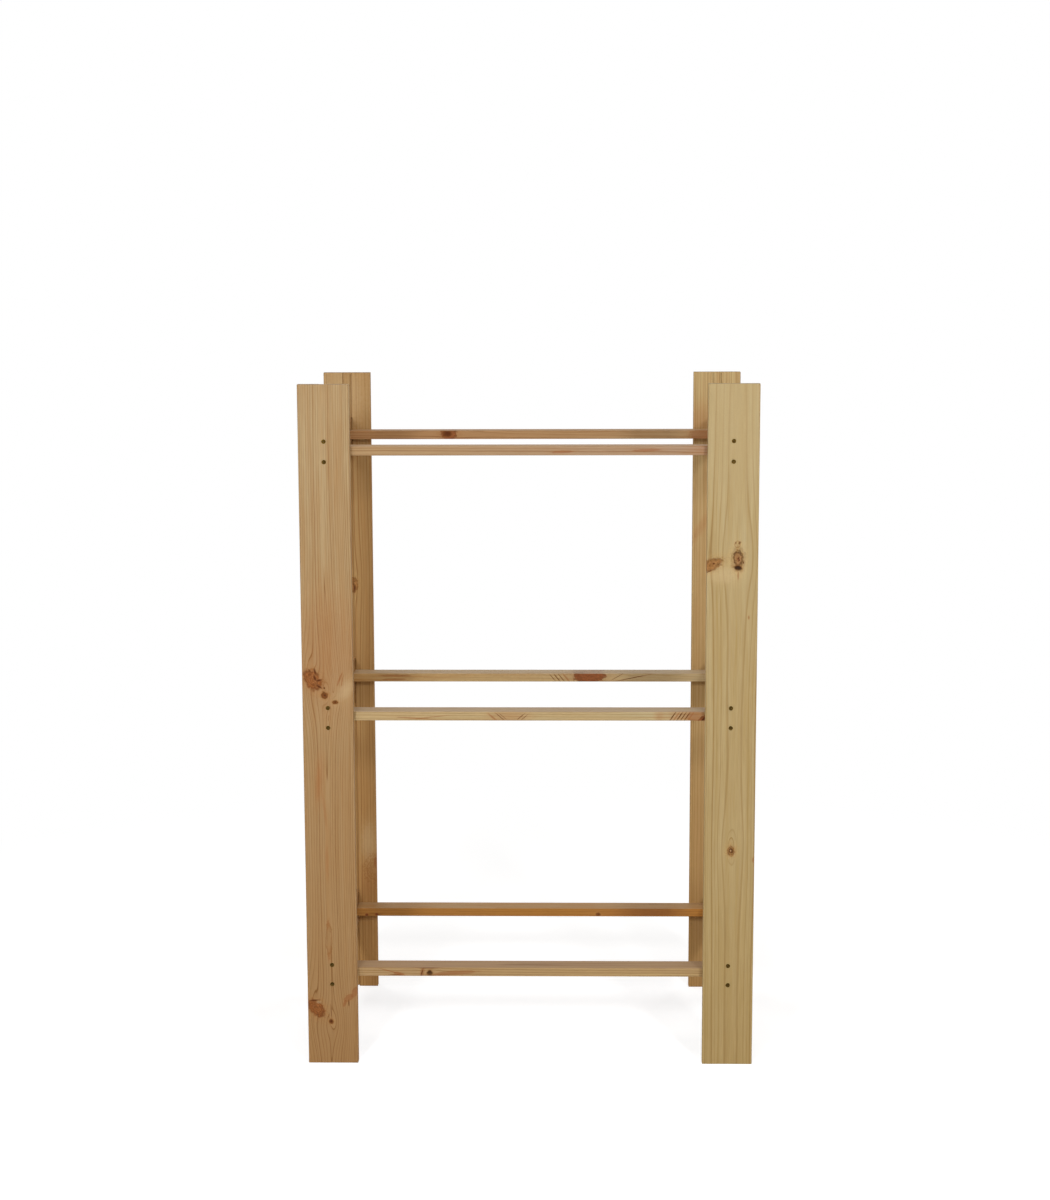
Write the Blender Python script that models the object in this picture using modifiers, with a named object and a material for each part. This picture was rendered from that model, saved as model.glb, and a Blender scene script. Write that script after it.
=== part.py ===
"""Beverage crate rack in planed pine.

Four grooved posts stand at the corners. At each of three levels two crosspieces, boards on edge, run from front to
rear with their ends housed in the posts' grooves, and two flat rails run between the crosspieces to carry the crates.
Countersunk wood screws hold every joint.

Metres, +Z up. The origin is on the floor under the middle of the rack, and the front faces -Y.
"""

import math

import bpy
from mathutils import Vector

# Overall sizes
RACK_WIDTH = 0.850
RACK_HEIGHT = 1.300
CLEAR_DEPTH = 0.438

# Boards, planed on all sides
POST_WIDTH = 0.095
POST_THICKNESS = 0.018
CROSSPIECE_HEIGHT = 0.070
CROSSPIECE_THICKNESS = 0.017
RAIL_WIDTH = 0.044
RAIL_THICKNESS = 0.017
EDGE_RADIUS = 0.0015
EDGE_SEGMENTS = 2

# Levels, measured at the middle of the rails' height: the lowest up from the floor, the highest down from the top
LEVEL_NAMES = ("bottom", "middle", "top")
BOTTOM_LEVEL = 0.176
TOP_LEVEL_DROP = 0.124

# Groove down each post's inner face, which houses the crosspieces' ends
GROOVE_DEPTH = 0.006

# Countersunk wood screws, one kind throughout
SCREW_LENGTH = 0.050
SCREW_HEAD_DIAMETER = 0.008
SCREW_SHANK_DIAMETER = 0.004
SCREW_HEAD_RIM = 0.0004
SCREW_TIP_LENGTH = 0.005
SCREW_HEAD_SINK = 0.0003
SCREW_SEGMENTS = 12
POST_SCREW_SPACING = 0.038

# Clearances: between pieces that touch, and how far a cutter runs past the wood
FIT_GAP = 0.0003
OVERCUT = 0.002

# Meshing of turned pieces
MERGE_DISTANCE = 0.00001
SHARP_ANGLE = math.radians(30)

# Places that follow from the sizes above
POST_X = (RACK_WIDTH - POST_WIDTH) / 2
POST_Y = (CLEAR_DEPTH + POST_THICKNESS) / 2
POST_OUTER_Y = CLEAR_DEPTH / 2 + POST_THICKNESS
CROSSPIECE_LENGTH = CLEAR_DEPTH + 2 * (GROOVE_DEPTH - FIT_GAP)
CROSSPIECE_OUTER_X = POST_X + CROSSPIECE_THICKNESS / 2
RAIL_LENGTH = 2 * (POST_X - CROSSPIECE_THICKNESS / 2 - FIT_GAP)
RAIL_Y = CLEAR_DEPTH / 2 - FIT_GAP - RAIL_WIDTH / 2

SIDES = (("left", -1), ("right", 1))
ENDS = (("front", -1), ("rear", 1))
LEVEL_PITCH = (RACK_HEIGHT - TOP_LEVEL_DROP - BOTTOM_LEVEL) / (len(LEVEL_NAMES) - 1)
LEVELS = [(name, BOTTOM_LEVEL + i * LEVEL_PITCH) for i, name in enumerate(LEVEL_NAMES)]
SCREW_PLACES = (("lower", -1), ("upper", 1))

# Wood and metal colours, sRGB
POST_COLOURS = {
    "front_left": "#B7966C",
    "front_right": "#C0AA7D",
    "rear_left": "#B2915F",
    "rear_right": "#B5955F",
}
RAIL_COLOURS = {"front": "#B7986D", "rear": "#A67C4E"}
CROSSPIECE_COLOUR = "#B4935F"
SCREW_COLOUR = "#8A6E38"
WOOD_ROUGHNESS = 0.45
SCREW_ROUGHNESS = 0.35


def clear_scene():
    """Remove whatever the open file holds."""
    for obj in list(bpy.data.objects):
        bpy.data.objects.remove(obj, do_unlink=True)


def new_collection(name):
    """A collection of this name, linked to the scene."""
    collection = bpy.data.collections.new(name)
    bpy.context.scene.collection.children.link(collection)
    return collection


def linear(colour):
    """An sRGB hex colour as linear red, green, blue and alpha."""
    channels = [int(colour[i : i + 2], 16) / 255 for i in (1, 3, 5)]
    return [c / 12.92 if c <= 0.04045 else ((c + 0.055) / 1.055) ** 2.4 for c in channels] + [1.0]


def new_material(name, colour, roughness, metallic=0.0):
    """A Principled material of one colour."""
    material = bpy.data.materials.new(name)
    material.use_nodes = True
    shader = material.node_tree.nodes["Principled BSDF"]
    shader.inputs["Base Color"].default_value = linear(colour)
    shader.inputs["Roughness"].default_value = roughness
    shader.inputs["Metallic"].default_value = metallic
    return material


def move_to(obj, collection):
    """Keep the object in this collection alone."""
    for holder in list(obj.users_collection):
        holder.objects.unlink(obj)
    collection.objects.link(obj)


def new_box(name, size, location, collection):
    """A box of this size, with its scale applied."""
    bpy.ops.mesh.primitive_cube_add(size=1.0, location=location)
    obj = bpy.context.object
    obj.name = name
    obj.data.name = name
    obj.scale = size
    bpy.ops.object.transform_apply(location=False, rotation=False, scale=True)
    move_to(obj, collection)
    return obj


def new_board(name, size, location, colour):
    """A planed board with its edges eased."""
    obj = new_box(name, size, location, parts)
    obj.parent = rack
    obj.data.materials.append(new_material(name + " pine", colour, WOOD_ROUGHNESS))
    bevel = obj.modifiers.new("eased edges", "BEVEL")
    bevel.width = EDGE_RADIUS
    bevel.segments = EDGE_SEGMENTS
    bevel.limit_method = "ANGLE"
    return obj


def as_cutter(obj):
    """Show the object as a wire frame and leave it out of renders."""
    obj.display_type = "WIRE"
    obj.hide_render = True
    return obj


def cut(board, cutter):
    """Take the cutter's shape out of the board."""
    boolean = board.modifiers.new(cutter.name, "BOOLEAN")
    boolean.operation = "DIFFERENCE"
    boolean.solver = "EXACT"
    boolean.object = cutter


def turned_mesh(name, profile):
    """A solid turned about Z from (radius, height) points that run from the top of the axis to its foot."""
    outline = bpy.data.meshes.new(name + " profile")
    points = [(radius, 0.0, height) for radius, height in profile]
    outline.from_pydata(points, [(i, i + 1) for i in range(len(points) - 1)], [])
    lathe = bpy.data.objects.new(name + " lathe", outline)
    cutters.objects.link(lathe)
    screw = lathe.modifiers.new("turn", "SCREW")
    screw.steps = SCREW_SEGMENTS
    screw.render_steps = SCREW_SEGMENTS
    screw.angle = math.tau
    screw.use_merge_vertices = True
    screw.merge_threshold = MERGE_DISTANCE
    graph = bpy.context.evaluated_depsgraph_get()
    mesh = bpy.data.meshes.new_from_object(lathe.evaluated_get(graph))
    mesh.name = name
    bpy.data.objects.remove(lathe, do_unlink=True)
    mesh.shade_smooth()
    mesh.set_sharp_from_angle(angle=SHARP_ANGLE)
    return mesh


def screw_profile(gap, above):
    """Half a countersunk screw, thicker all round by gap, with its head carried up by above."""
    head = SCREW_HEAD_DIAMETER / 2 + gap
    shank = SCREW_SHANK_DIAMETER / 2 + gap
    countersink = SCREW_HEAD_RIM + (SCREW_HEAD_DIAMETER - SCREW_SHANK_DIAMETER) / 2 + gap
    return [
        (0.0, above),
        (head, above),
        (head, -SCREW_HEAD_RIM - gap),
        (shank, -countersink),
        (shank, -SCREW_LENGTH + SCREW_TIP_LENGTH - gap),
        (0.0, -SCREW_LENGTH - gap),
    ]


def drive_screw(name, head, outward, boards):
    """Set a screw with its head at this place, and bore its countersunk hole through the boards it joins."""
    turn = Vector(outward).to_track_quat("Z", "Y").to_euler()
    screw = bpy.data.objects.new(name, screw_mesh)
    hole = as_cutter(bpy.data.objects.new(name + " hole", hole_mesh))
    for obj, collection in ((screw, parts), (hole, cutters)):
        obj.location = head
        obj.rotation_euler = turn
        obj.parent = rack
        collection.objects.link(obj)
    for board in boards:
        cut(board, hole)


def build_posts():
    """The four posts, each grooved down the middle of its inner face."""
    posts = {}
    groove_width = CROSSPIECE_THICKNESS + 2 * FIT_GAP
    for end, y_sign in ENDS:
        for side, x_sign in SIDES:
            corner = f"{end}_{side}"
            place = (x_sign * POST_X, y_sign * POST_Y, RACK_HEIGHT / 2)
            post = new_board(
                f"{corner}_post", (POST_WIDTH, POST_THICKNESS, RACK_HEIGHT), place, POST_COLOURS[corner]
            )
            groove_y = y_sign * (CLEAR_DEPTH + GROOVE_DEPTH - OVERCUT) / 2
            groove = new_box(
                f"{corner} groove",
                (groove_width, GROOVE_DEPTH + OVERCUT, RACK_HEIGHT + 2 * OVERCUT),
                (place[0], groove_y, place[2]),
                cutters,
            )
            cut(post, as_cutter(groove))
            posts[end, side] = post
    return posts


def build_crosspieces():
    """A board on edge at each side of each level, reaching into the grooves of both posts."""
    crosspieces = {}
    for side, x_sign in SIDES:
        for level, height in LEVELS:
            crosspieces[side, level] = new_board(
                f"{side}_{level}_crosspiece",
                (CROSSPIECE_THICKNESS, CROSSPIECE_LENGTH, CROSSPIECE_HEIGHT),
                (x_sign * POST_X, 0.0, height),
                CROSSPIECE_COLOUR,
            )
    return crosspieces


def build_rails():
    """A flat rail behind the front posts and one before the rear posts, at each level."""
    rails = {}
    for end, y_sign in ENDS:
        for level, height in LEVELS:
            rails[end, level] = new_board(
                f"{end}_{level}_rail",
                (RAIL_LENGTH, RAIL_WIDTH, RAIL_THICKNESS),
                (0.0, y_sign * RAIL_Y, height),
                RAIL_COLOURS[end],
            )
    return rails


def screw_posts_to_crosspieces(posts, crosspieces):
    """Two screws on each post's centre line at each level, above and below the rail."""
    for end, y_sign in ENDS:
        for side, x_sign in SIDES:
            for level, height in LEVELS:
                for place, z_sign in SCREW_PLACES:
                    head = (
                        x_sign * POST_X,
                        y_sign * (POST_OUTER_Y - SCREW_HEAD_SINK),
                        height + z_sign * POST_SCREW_SPACING / 2,
                    )
                    drive_screw(
                        f"{end}_{side}_{level}_{place}_post_screw",
                        head,
                        (0, y_sign, 0),
                        (posts[end, side], crosspieces[side, level]),
                    )


def screw_crosspieces_to_rails(crosspieces, rails):
    """One screw through each crosspiece into the end of each rail."""
    for end, y_sign in ENDS:
        for side, x_sign in SIDES:
            for level, height in LEVELS:
                head = (x_sign * (CROSSPIECE_OUTER_X - SCREW_HEAD_SINK), y_sign * RAIL_Y, height)
                drive_screw(
                    f"{end}_{side}_{level}_rail_screw",
                    head,
                    (x_sign, 0, 0),
                    (crosspieces[side, level], rails[end, level]),
                )


clear_scene()
parts = new_collection("beverage_crate_rack")
cutters = new_collection("cutters")
rack = bpy.data.objects.new("rack_origin", None)
parts.objects.link(rack)

screw_mesh = turned_mesh("countersunk screw", screw_profile(0.0, 0.0))
screw_mesh.materials.append(new_material("yellow zinc steel", SCREW_COLOUR, SCREW_ROUGHNESS, 1.0))
hole_mesh = turned_mesh("countersunk hole", screw_profile(FIT_GAP, OVERCUT))

all_posts = build_posts()
all_crosspieces = build_crosspieces()
all_rails = build_rails()
screw_posts_to_crosspieces(all_posts, all_crosspieces)
screw_crosspieces_to_rails(all_crosspieces, all_rails)
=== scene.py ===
# %% [markdown]
# # A beverage crate rack in lacquered pine
# The real rack is sixteen planed pine boards and the screws that hold them. Four posts stand at the
# corners, and at three levels a pair of rails carries the crates. The CAD model already has each board and
# screw in its place, so this lesson loads it as a fixed frame and dresses it: every board becomes a softly
# eased solid with its own growth rings and knots, and every screw gets a head with a cross recess.

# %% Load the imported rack
import math

import bpy
import numpy as np
from mathutils import Matrix, Vector


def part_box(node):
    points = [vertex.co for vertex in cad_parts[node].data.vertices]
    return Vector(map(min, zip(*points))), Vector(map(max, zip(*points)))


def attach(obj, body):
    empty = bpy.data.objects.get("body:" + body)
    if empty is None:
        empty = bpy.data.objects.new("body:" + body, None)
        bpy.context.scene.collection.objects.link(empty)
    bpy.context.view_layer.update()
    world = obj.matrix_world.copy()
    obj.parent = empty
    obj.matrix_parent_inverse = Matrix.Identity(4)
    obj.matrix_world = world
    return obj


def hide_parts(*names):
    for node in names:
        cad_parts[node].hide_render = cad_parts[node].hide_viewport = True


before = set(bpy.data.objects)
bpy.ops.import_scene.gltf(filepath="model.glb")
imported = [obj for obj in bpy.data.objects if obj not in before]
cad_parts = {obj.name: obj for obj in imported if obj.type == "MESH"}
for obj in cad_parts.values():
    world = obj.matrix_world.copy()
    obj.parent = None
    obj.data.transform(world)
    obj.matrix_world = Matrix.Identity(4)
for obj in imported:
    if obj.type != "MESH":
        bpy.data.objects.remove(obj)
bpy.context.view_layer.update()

# %% [markdown]
# ## The camera
# The photograph was taken from a little above the rack's top, about four metres in front of it. Its place,
# turn and focal length were worked out from the straight edges of the posts and rails, so that each edge
# falls where the photograph has it. The turn is built from three angles, in the order a tripod head has
# them: pan, tilt, then roll.

# %% Camera at the photograph's viewing angle
PHOTO_WIDTH, PHOTO_HEIGHT = 1050, 1200
FOCAL_PIXELS = 2192.3
SENSOR_MM = 36.0
CAMERA_PLACE = (0.063, -4.265, 1.511)
CAMERA_PAN, CAMERA_TILT, CAMERA_ROLL = np.radians([-0.996, 8.624, 0.159])


def camera_axes(pan, tilt, roll):
    """Right, up and back of the camera: the view direction is panned from +Y and tilted down, then the
    frame rolls."""
    ahead = np.array([math.sin(pan) * math.cos(tilt), math.cos(pan) * math.cos(tilt), -math.sin(tilt)])
    level = np.array([math.cos(pan), -math.sin(pan), 0.0])
    down = np.cross(ahead, level)
    right = math.cos(roll) * level + math.sin(roll) * down
    return right, np.cross(right, ahead), -ahead


camera = bpy.data.objects.new("camera", bpy.data.cameras.new("camera"))
bpy.context.scene.collection.objects.link(camera)
camera.data.sensor_width = SENSOR_MM
camera.data.lens = FOCAL_PIXELS / max(PHOTO_WIDTH, PHOTO_HEIGHT) * SENSOR_MM
turned = Matrix(np.column_stack(camera_axes(CAMERA_PAN, CAMERA_TILT, CAMERA_ROLL)).tolist())
camera.matrix_world = Matrix.Translation(CAMERA_PLACE) @ turned.to_4x4()
bpy.context.scene.camera = camera
print("lens %.1f mm" % camera.data.lens)

# %% [markdown]
# ## Colours and nodes
# Colours are written as they look on a screen, in sRGB hex, and one function turns them to the linear
# values that Blender mixes light with. One more function adds a shader node, sets it up and links it, so
# that a material reads as a list of steps.

# %% Two helpers for every material


def linear(colour):
    """An sRGB hex colour as linear red, green, blue and alpha: the sRGB curve, undone channel by channel."""
    srgb = np.array([int(colour[i : i + 2], 16) for i in (1, 3, 5)]) / 255
    return (*np.where(srgb <= 0.04045, srgb / 12.92, ((srgb + 0.055) / 1.055) ** 2.4), 1.0)


def add(tree, kind, inputs=None, stops=None, **settings):
    """Add a node with these settings and return its outputs. An input is a socket to link or a value, and
    stops are a ramp's colours; a new ramp already has two."""
    node = tree.nodes.new("ShaderNode" + kind)
    for name, value in settings.items():
        setattr(node, name, value)
    for name, value in (inputs or {}).items():
        if isinstance(value, bpy.types.NodeSocket):
            tree.links.new(value, node.inputs[name])
        else:
            node.inputs[name].default_value = value
    for i, (position, colour) in enumerate(stops or ()):
        ramp = node.color_ramp.elements
        stop = ramp[i] if i < len(ramp) else ramp.new(position)
        stop.position, stop.color = position, colour
    return node.outputs


# A colour Mix takes its share at input 0 and its two colours at 6 and 7, and gives the result at output 2
print("mid grey in linear light: %.3f" % linear("#808080")[0])

# %% [markdown]
# ## Floor and light
# The rack was photographed under soft studio light. One lamp stands on each side of the camera and above
# it, so the front posts' tops throw soft shadows on the rear posts. A wide panel overhead lights the rails'
# tops, and the light falls off towards the floor. Two weak panels, low behind the rack and to its sides,
# light its back. The surround adds a dim, warm fill, and its white is only what the camera and reflections
# see. The floor takes real shadows close to the rack and fades to that white further out, so no horizon
# shows, and a cool glow keeps its paper neutral.

# %% White surround, dim where it lights the rack
SURROUND_FILL = 0.27
SURROUND_TINT = "#FFDDB4"
WHITE = "#FFFFFF"


def looked_at(tree):
    """1 for what the camera sees, straight or by reflection or through glass, and 0 for what only lights
    the rack: the largest of three ray flags."""
    ray = add(tree, "LightPath")
    seen = add(tree, "Math", {0: ray["Is Camera Ray"], 1: ray["Is Glossy Ray"]}, operation="MAXIMUM")[0]
    return add(tree, "Math", {0: seen, 1: ray["Is Transmission Ray"]}, operation="MAXIMUM")[0]


world = bpy.data.worlds.new("studio surround")
bpy.context.scene.world = world
world.use_nodes = True
tree = world.node_tree
seen = looked_at(tree)
level = add(tree, "MapRange", {"Value": seen, "To Min": SURROUND_FILL, "To Max": 1.0})[0]
tint = {0: seen, 6: linear(SURROUND_TINT), 7: linear(WHITE)}
tint = add(tree, "Mix", tint, data_type="RGBA")[2]
surround = tree.nodes["Background"]
tree.links.new(tint, surround.inputs["Color"])
tree.links.new(level, surround.inputs["Strength"])
bpy.context.scene.view_settings.view_transform = "Standard"
print("surround lights the rack at", SURROUND_FILL)

# %% Pale floor that keeps the shadow
FLOOR_HALF = 12.0
# A span is written as the inputs of a Map Range node
SHADOW_REACH = {"From Min": 0.9, "From Max": 2.0}
PAPER = "#E8E8E8"
FLOOR_GLOW = 0.66
FLOOR_GLOW_TINT = "#ECF6FF"

corners = FLOOR_HALF * np.array([[-1, -1, 0], [1, -1, 0], [1, 1, 0], [-1, 1, 0]])
floor_mesh = bpy.data.meshes.new("floor")
floor_mesh.from_pydata(corners.tolist(), [], [(0, 1, 2, 3)])
floor = bpy.data.objects.new("floor", floor_mesh)
bpy.context.scene.collection.objects.link(floor)

paper = bpy.data.materials.new("white studio paper")
paper.use_nodes = True
tree = paper.node_tree
tree.nodes.remove(tree.nodes["Principled BSDF"])
seen = looked_at(tree)
away = add(tree, "VectorMath", {0: add(tree, "TexCoord")["Object"]}, operation="LENGTH")["Value"]
fade = add(tree, "MapRange", {"Value": away, **SHADOW_REACH}, interpolation_type="SMOOTHSTEP")[0]
lit = add(tree, "BsdfDiffuse", {"Color": linear(PAPER)})[0]
glow = add(tree, "Math", {0: seen, 1: FLOOR_GLOW}, operation="MULTIPLY")[0]
glow = add(tree, "Emission", {"Color": linear(FLOOR_GLOW_TINT), "Strength": glow})[0]
near = add(tree, "AddShader", {0: lit, 1: glow})[0]
far_share = add(tree, "Math", {0: fade, 1: seen}, operation="MULTIPLY")[0]
shown = add(tree, "MixShader", {0: far_share, 1: near, 2: add(tree, "Emission")[0]})[0]
tree.links.new(shown, tree.nodes["Material Output"].inputs["Surface"])
floor_mesh.materials.append(paper)
print("floor", 2 * FLOOR_HALF, "m wide")

# %% Two soft lamps and three panels
LIGHTS = {
    "left lamp": {"watts": 44.0, "size": (0.35, 0.5), "place": (-1.02, -3.6, 2.0)},
    "right lamp": {"watts": 46.0, "size": (0.35, 0.5), "place": (1.47, -3.6, 2.0)},
    "overhead panel": {"watts": 21.0, "size": (2.4, 1.6), "place": (0.0, -1.2, 3.0)},
    "rear left panel": {"watts": 36.0, "size": (1.2, 1.2), "place": (-2.4, 3.0, 0.8)},
    "rear right panel": {"watts": 36.0, "size": (1.2, 1.2), "place": (2.4, 3.0, 0.8)},
}
LIGHT_AIM = Vector((0.0, 0.0, 0.75))

for name, light in LIGHTS.items():
    lamp = bpy.data.objects.new(name, bpy.data.lights.new(name, "AREA"))
    bpy.context.scene.collection.objects.link(lamp)
    lamp.data.shape = "RECTANGLE"
    lamp.data.energy = light["watts"]
    lamp.data.size, lamp.data.size_y = light["size"]
    lamp.location = light["place"]
    lamp.rotation_euler = (LIGHT_AIM - lamp.location).to_track_quat("-Z", "Y").to_euler()
    print(name, "at", light["place"])

# %% [markdown]
# ## Boards
# A planed board is one profile carried along a straight line. Its long arrises (the edges where two faces
# meet) are eased by a millimetre or so, and the sawn ends a little less. Blender's Bevel modifier could
# round a box, but here the rounding is worked out as arcs, so the groove down the posts' inner faces gets
# its own small arcs, and two extra points beside each arc keep the wide faces flat when the mesh is smooth
# shaded.

# %% The profile of a board
MM = 0.001
ARRIS = 1.0 * MM
GROOVE_ARRIS = 1.0 * MM
GROOVE_ROOT = 0.4 * MM
END_ARRIS = 0.8 * MM
# How far the points that hold a face flat lie from its arc
HOLDING = 0.8 * MM
END_HOLDING = 0.15 * MM
ARC_STEPS = 5
GROOVE_WIDTH = 17.6 * MM
GROOVE_DEPTH = 6.0 * MM


def rounded_profile(points, radii):
    """Round each square corner of a closed outline: the arc's middle lies one radius in along both edges,
    and the arc runs from the edge before to the edge after. Returns the points in order and their outward
    normals."""
    back = np.roll(points, 1, axis=0) - points
    on = np.roll(points, -1, axis=0) - points
    back = back / np.linalg.norm(back, axis=1, keepdims=True)
    on = on / np.linalg.norm(on, axis=1, keepdims=True)
    outward = np.sign(back[:, 1] * on[:, 0] - back[:, 0] * on[:, 1])[:, None, None]
    angle = np.concatenate([[0.0], np.linspace(0, math.pi / 2, ARC_STEPS + 1), [math.pi / 2]])[None, :, None]
    spoke = on[:, None] * np.cos(angle) + back[:, None] * np.sin(angle)
    reach = radii[:, None, None]
    outline = points[:, None] + reach * (back + on)[:, None] - reach * spoke
    outline[:, 0] += HOLDING * back
    outline[:, -1] += HOLDING * on
    return outline.reshape(-1, 2), (-outward * spoke).reshape(-1, 2)


def board_outline(width, thickness, groove_side):
    """A rectangle, with a square groove in the middle of one face where groove_side is 1 or -1."""
    side, face, wall = width / 2, thickness / 2, GROOVE_WIDTH / 2
    box = np.array([[-side, -face], [side, -face], [side, face], [-side, face]])
    if not groove_side:
        return rounded_profile(box, np.full(len(box), ARRIS))
    root = face - GROOVE_DEPTH
    groove = np.array([[wall, face], [wall, root], [-wall, root], [-wall, face]])
    outline = np.concatenate([box[:3], groove, box[3:]]) * groove_side
    arrises = [ARRIS] * 3 + [GROOVE_ARRIS, GROOVE_ROOT, GROOVE_ROOT, GROOVE_ARRIS, ARRIS]
    return rounded_profile(outline, np.array(arrises))


print("arrises eased by", ARRIS / MM, "mm")

# %% [markdown]
# The profile is carried from one end to the other as a grid: one row of points for each station along the
# board. At the ends the rows draw in along a quarter circle, which eases the end arrises, and a flat face
# closes each end.

# %% A board as a grid


def carry(profile, normals, length):
    """Rows of the profile along the third axis. Near an end, a row at angle f of a quarter circle is drawn
    in by the end radius times 1 - sin f and lies the radius times 1 - cos f from the end. No row is drawn
    in by more than the outer arrises' radius, so the end faces never cross themselves."""
    angle = np.linspace(0, math.pi / 2, ARC_STEPS)
    inset = np.concatenate([[END_ARRIS + END_HOLDING], END_ARRIS * (1 - np.sin(angle)), [0.0]])
    depth = np.concatenate([[0.0], END_ARRIS * (1 - np.cos(angle)), [END_ARRIS + HOLDING]])
    inset = np.concatenate([inset, inset[::-1]])
    height = np.concatenate([depth - length / 2, length / 2 - depth[::-1]])
    flat = profile[None] - inset[:, None, None] * normals[None]
    return np.dstack([flat, np.broadcast_to(height[:, None], flat.shape[:2])])


def grid_faces(rows, columns):
    """Quads between neighbouring rows of a grid whose columns close in a ring, with an end face at each
    end."""
    corner = np.arange(rows * columns).reshape(rows, columns)
    beside = np.roll(corner, -1, axis=1)
    quads = np.stack([corner[:-1], beside[:-1], beside[1:], corner[1:]], axis=-1).reshape(-1, 4)
    return quads.tolist() + [corner[0, ::-1].tolist(), corner[-1].tolist()]


def new_piece(name, points, faces):
    """A smooth-shaded mesh object at the origin, with its place in its points."""
    mesh = bpy.data.meshes.new(name)
    mesh.from_pydata(points.reshape(-1, 3).tolist(), [], faces)
    mesh.shade_smooth()
    piece = bpy.data.objects.new(name, mesh)
    bpy.context.scene.collection.objects.link(piece)
    return piece


# The frame's axes that lie across a board's face, through it and along it
AXES = {"post": (0, 1, 2), "rail": (1, 2, 0), "crosspiece": (2, 0, 1)}


def node_corners(node):
    """The lowest and the highest corner of a CAD node, as arrays."""
    return [np.array(corner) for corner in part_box(node)]


def board(name, kind, groove_side=0):
    """A board in the place and size of its CAD node."""
    low, high = node_corners(name)
    across, through, along = AXES[kind]
    size = high - low
    profile, normals = board_outline(size[across], size[through], groove_side)
    grid = carry(profile, normals, size[along])
    points = np.empty_like(grid)
    points[..., [across, through, along]] = grid
    points += (low + high) / 2
    return new_piece(name + ".pine", points, grid_faces(*grid.shape[:2]))


boards = {}
for end in ("front", "rear"):
    for side in ("left", "right"):
        boards[f"{end}_{side}_post"] = board(f"{end}_{side}_post", "post", 1 if end == "front" else -1)
for level in ("bottom", "middle", "top"):
    for side in ("left", "right"):
        boards[f"{side}_{level}_crosspiece"] = board(f"{side}_{level}_crosspiece", "crosspiece")
    for end in ("front", "rear"):
        boards[f"{end}_{level}_rail"] = board(f"{end}_{level}_rail", "rail")
print(len(boards), "boards,", sum(len(b.data.polygons) for b in boards.values()), "faces")

# %% [markdown]
# ## Screws
# The screws are countersunk wood screws, plated in yellow zinc. A screw is a turned shape, so it is one
# grid: down its length and round its axis. Two things depart from the turned shape, and both are functions
# of the same two parameters: the cross recess, which sinks the top of the head, and the thread, a ridge
# whose height depends on the turn and the depth together. Bolt generators exist as add-ons, but a grid
# keeps the script whole.

# %% A countersunk screw as a function of depth and turn
HEAD_RADIUS = 4.0 * MM
HEAD_RIM = 0.4 * MM
SHANK_RADIUS = 1.7 * MM
CORE_RADIUS = 1.25 * MM
THREAD_RADIUS = 2.0 * MM
THREAD_PITCH = 1.8 * MM
THREAD_START = 16 * MM
SCREW_LENGTH = 50 * MM
TIP_LENGTH = 5 * MM
TIP_SHARE = 0.02
THREAD_RUN_IN = 0.2 * MM
THREAD_ROWS = 0.45 * MM
RIDGE_STEEPNESS = 2.5
RECESS_RADIUS = 2.3 * MM
RECESS_HALF_WIDTH = 0.55 * MM
RECESS_WALL = 0.25 * MM
RECESS_DEPTH = 1.9 * MM
RECESS_FLOOR = 1.25
SCREW_TURNS = 48
# Rows on the head's top as shares of its radius: close together over the recess, wider apart towards the rim
HEAD_ROWS = np.concatenate([np.linspace(0.02, 0.62, 22), np.linspace(0.66, 1.0, 6)])


def screw_grid():
    """Rows from the head's middle to the tip. On the head's top, height is minus the recess: full depth
    where the nearer cross arm's middle line is within its half width, less towards the arm's end. Below the
    thread's start, radius is the core's plus a ridge that falls off from the crest line, depth / pitch =
    turn / one turn, and it shrinks towards the tip."""
    turn = np.linspace(0, 2 * math.pi, SCREW_TURNS, endpoint=False)
    top = HEAD_ROWS * HEAD_RADIUS
    neck = HEAD_RIM + HEAD_RADIUS - SHANK_RADIUS
    thread = np.arange(THREAD_START + THREAD_RUN_IN, SCREW_LENGTH, THREAD_ROWS)
    depth = np.concatenate([np.zeros(len(top)), [HEAD_RIM, neck, THREAD_START], thread])
    radius = np.concatenate([top, [HEAD_RADIUS, SHANK_RADIUS, SHANK_RADIUS], np.zeros(len(thread))])
    to_tip = np.clip((SCREW_LENGTH - depth) / TIP_LENGTH, TIP_SHARE, 1.0)
    crest = np.abs((depth[:, None] / THREAD_PITCH - turn / (2 * math.pi)) % 1.0 - 0.5) * 2
    ridge = CORE_RADIUS + (THREAD_RADIUS - CORE_RADIUS) * np.clip(1 - RIDGE_STEEPNESS * crest, 0, 1)
    threaded = depth > THREAD_START
    wide = np.where(threaded[:, None], ridge * to_tip[:, None], radius[:, None])
    x, y = wide * np.cos(turn), wide * np.sin(turn)
    arm = np.minimum(np.abs(x), np.abs(y))
    beside = np.clip((RECESS_HALF_WIDTH - arm) / RECESS_WALL, 0, 1)
    inward = np.clip(RECESS_FLOOR - np.hypot(x, y) / RECESS_RADIUS, 0, 1)
    on_top = np.arange(len(depth)) < len(top)
    sunk = np.where(on_top[:, None], RECESS_DEPTH * beside * inward, 0.0)
    return np.dstack([x, y, -depth[:, None] - sunk])


SCREW_GRID = screw_grid()
print("screw grid", SCREW_GRID.shape)

# %% [markdown]
# The CAD nodes say where each screw sits: a post screw's head faces out of its post, a rail screw's out of
# its crosspiece. The boards get countersunk holes there with a Boolean modifier, whose result is put back
# as plain mesh.

# %% Screws in their places
SCREW_TURN_SEED = 7
rng = np.random.default_rng(SCREW_TURN_SEED)


def set_along(grid, head, outward):
    """Turn a shape made about the third axis so that this axis points outward, and move its top to the
    head's place."""
    up = np.array([0.0, 0.0, 1.0])
    axes = np.stack([np.cross(up, outward), up, outward])
    return grid @ axes + head


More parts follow.
